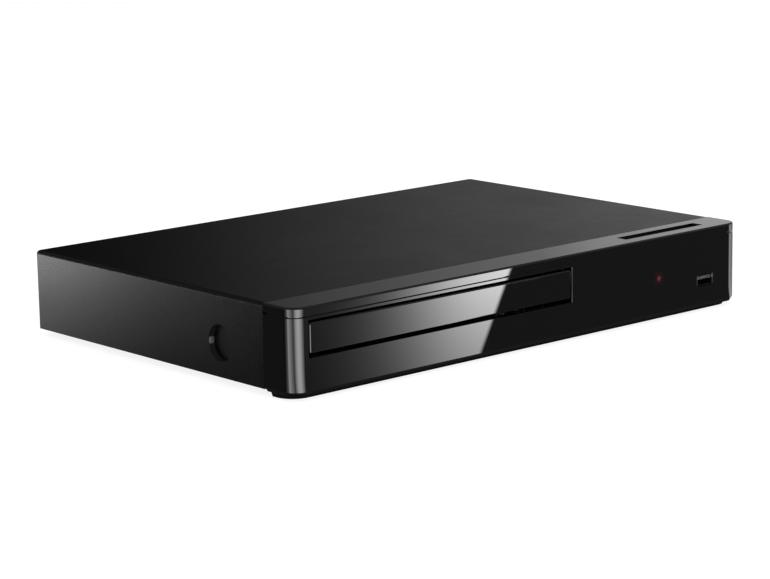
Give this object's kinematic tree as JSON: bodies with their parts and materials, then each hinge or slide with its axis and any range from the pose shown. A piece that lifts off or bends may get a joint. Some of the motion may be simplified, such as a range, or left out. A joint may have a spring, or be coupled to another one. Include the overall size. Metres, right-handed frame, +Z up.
{
  "type": "disc player",
  "caption": "Slim home disc player with a motorised loading tray, two keys on top, a front panel wrapped round its corners, and sockets at the rear.",
  "frame": {"origin": "middle of the footprint, on the surface that the feet stand on", "axes": "+X to the right of someone facing the front, +Y from the front to the back, +Z up"},
  "size_m": [0.312, 0.216, 0.045],
  "materials": {
    "cover_paint": "satin",
    "zinc_steel": "satin",
    "panel_paint": "matte",
    "fascia_gloss": "gloss",
    "trim_gloss": "gloss",
    "door_gloss": "gloss",
    "indicator_lens": "gloss",
    "key_black": "matte",
    "socket_steel": "satin",
    "board_green": "satin",
    "board_amber": "satin",
    "chip_black": "matte",
    "frame_plastic": "matte",
    "tray_plastic": "satin",
    "nylon_white": "satin",
    "brass_turned": "satin",
    "soft_rubber": "matte",
    "motor_steel": "satin",
    "turntable_grey": "satin",
    "polished_steel": "polished",
    "sled_metal": "satin",
    "lens_glass": "polished",
    "sink_aluminium": "satin",
    "can_sleeve": "satin",
    "winding_tape": "satin",
    "jack_orange": "satin",
    "inlet_black": "satin",
    "cable_white": "satin"
  },
  "bodies": {
    "housing": {"bottom_chassis": "zinc_steel", "capacitors": "can_sleeve", "clamp_bridge": "zinc_steel", "coax_socket": "jack_orange", "drive_belt": "soft_rubber", "foot_front_left": "soft_rubber", "foot_front_right": "soft_rubber", "foot_rear_left": "soft_rubber", "foot_rear_right": "soft_rubber", "front_board": "board_green", "front_fascia": "fascia_gloss", "front_flat_cable": "cable_white", "front_top_trim": "trim_gloss", "hdmi_socket": "socket_steel", "heat_sink": "sink_aluminium", "infrared_receiver": "chip_black", "key_switches": "chip_black", "lan_socket": "socket_steel", "led_lens": "indicator_lens", "loader_damper_front_left": "soft_rubber", "loader_damper_front_right": "soft_rubber", "loader_damper_rear_left": "soft_rubber", "loader_damper_rear_right": "soft_rubber", "loader_flat_cable": "cable_white", "loader_frame": "frame_plastic", "loading_motor": "motor_steel", "main_board": "board_green", "power_board": "board_amber", "power_harness": "cable_white", "power_heat_sink": "sink_aluminium", "power_inlet": "inlet_black", "processor": "chip_black", "rear_panel": "panel_paint", "status_led": "indicator_lens", "top_cover": "cover_paint", "transformer": "winding_tape", "usb_socket": "socket_steel"},
    "tray": {"disc_tray": "tray_plastic", "tray_door": "door_gloss"},
    "open_key": {"open_close_button": "key_black"},
    "power_key": {"power_button": "key_black"},
    "drive_wheel": {"drive_gear": "nylon_white"},
    "pulley_wheel": {"pulley_gear": "nylon_white"},
    "motor_wheel": {"motor_pulley": "brass_turned"},
    "cam": {"cam_slider": "nylon_white"},
    "traverse": {"traverse_frame": "frame_plastic", "spindle_motor": "motor_steel", "guide_rod_left": "polished_steel", "guide_rod_right": "polished_steel", "sled_motor": "motor_steel"},
    "platter": {"turntable": "turntable_grey"},
    "screw": {"lead_screw": "polished_steel"},
    "pickup": {"pickup_sled": "sled_metal", "objective_lens": "lens_glass"},
    "clamper": {"disc_clamper": "frame_plastic", "clamper_yoke": "zinc_steel"}
  },
  "joints": [
    {"name": "tray_slide", "type": "slide", "parent": "housing", "child": "tray", "axis": [0, -1, 0], "range_m": [0, 0.142]},
    {"name": "drive_gear_turn", "type": "hinge", "parent": "housing", "child": "drive_wheel", "pos_m": [-0.0038, -0.07995, 0.02], "axis": [0, 0, 1], "range_deg": [-1085, 0]},
    {"name": "pulley_gear_turn", "type": "hinge", "parent": "housing", "child": "pulley_wheel", "pos_m": [-0.00995, -0.06208, 0.02], "axis": [0, 0, 1], "range_deg": [0, 2713]},
    {"name": "motor_pulley_turn", "type": "hinge", "parent": "housing", "child": "motor_wheel", "pos_m": [-0.00795, -0.03608, 0.021], "axis": [0, 0, 1], "range_deg": [0, 9245]},
    {"name": "traverse_drop", "type": "hinge", "parent": "housing", "child": "traverse", "pos_m": [-0.0593, 0.06605, 0.0175], "axis": [1, 0, 0], "range_deg": [0, 2.84]},
    {"name": "cam_slide", "type": "slide", "parent": "housing", "child": "cam", "axis": [-1, 0, 0], "range_m": [0, 0.02]},
    {"name": "turntable_spin", "type": "hinge", "parent": "traverse", "child": "platter", "pos_m": [-0.0593, -0.02595, 0.028], "axis": [0, 0, 1], "continuous": true},
    {"name": "pickup_slide", "type": "slide", "parent": "traverse", "child": "pickup", "axis": [0, 1, 0], "range_m": [0, 0.036]},
    {"name": "lead_screw_turn", "type": "hinge", "parent": "traverse", "child": "screw", "pos_m": [-0.0903, 0.00205, 0.0175], "axis": [0, 1, 0], "range_deg": [0, 4321]},
    {"name": "clamper_spin", "type": "hinge", "parent": "housing", "child": "clamper", "pos_m": [-0.0593, -0.02595, 0.0385], "axis": [0, 0, 1], "continuous": true},
    {"name": "open_close_press", "type": "slide", "parent": "housing", "child": "open_key", "axis": [0, 0, -1], "range_m": [0, 0.0006], "stiffness_N_per_m": 400},
    {"name": "power_press", "type": "slide", "parent": "housing", "child": "power_key", "axis": [0, 0, -1], "range_m": [0, 0.0006], "stiffness_N_per_m": 400}
  ],
  "couplings": [
    {"joint": "drive_gear_turn", "follows": "tray_slide", "rad_per_m": -133.33},
    {"joint": "pulley_gear_turn", "follows": "tray_slide", "rad_per_m": 333.33},
    {"joint": "motor_pulley_turn", "follows": "tray_slide", "rad_per_m": 1135.8},
    {"joint": "cam_slide", "follows": "traverse_drop", "m_per_rad": 0.40317},
    {"joint": "lead_screw_turn", "follows": "pickup_slide", "rad_per_m": 2094.4}
  ]
}
